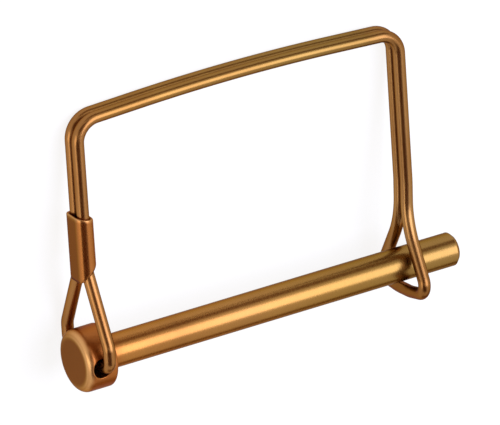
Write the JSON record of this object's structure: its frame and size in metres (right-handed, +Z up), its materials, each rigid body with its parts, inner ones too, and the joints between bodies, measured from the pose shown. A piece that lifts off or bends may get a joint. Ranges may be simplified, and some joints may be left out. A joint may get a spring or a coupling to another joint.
{
  "type": "wire lock pin",
  "caption": "Headed lock pin with a square spring-wire bail that turns in the head and snaps over the tip; a crimped sleeve holds the doubled wire together.",
  "frame": {"origin": "centre of the shank where it meets the head's shoulder", "axes": "+X along the shank to its tip, +Y from the shank to the bail's top bar, +Z up as the pin lies on a table"},
  "size_m": [0.0803, 0.0553, 0.0178],
  "materials": {
    "pin_plating": "satin bronze-gold plating on turned steel",
    "wire_plating": "satin bronze-gold plating on drawn spring wire",
    "sleeve_plating": "satin copper-brown plating on crimped tube"
  },
  "bodies": {
    "pin": {"pin": "pin_plating"},
    "bail": {"wire_bail": "wire_plating", "crimp_sleeve": "sleeve_plating"}
  },
  "joints": [
    {"name": "bail_swing", "type": "hinge", "parent": "pin", "child": "bail", "pos_m": [-0.0028, 0.00025, -0.00004], "axis": [0, 0.1468, 0.9892], "range_deg": [0, 248], "deforming": ["wire_bail"]}
  ]
}
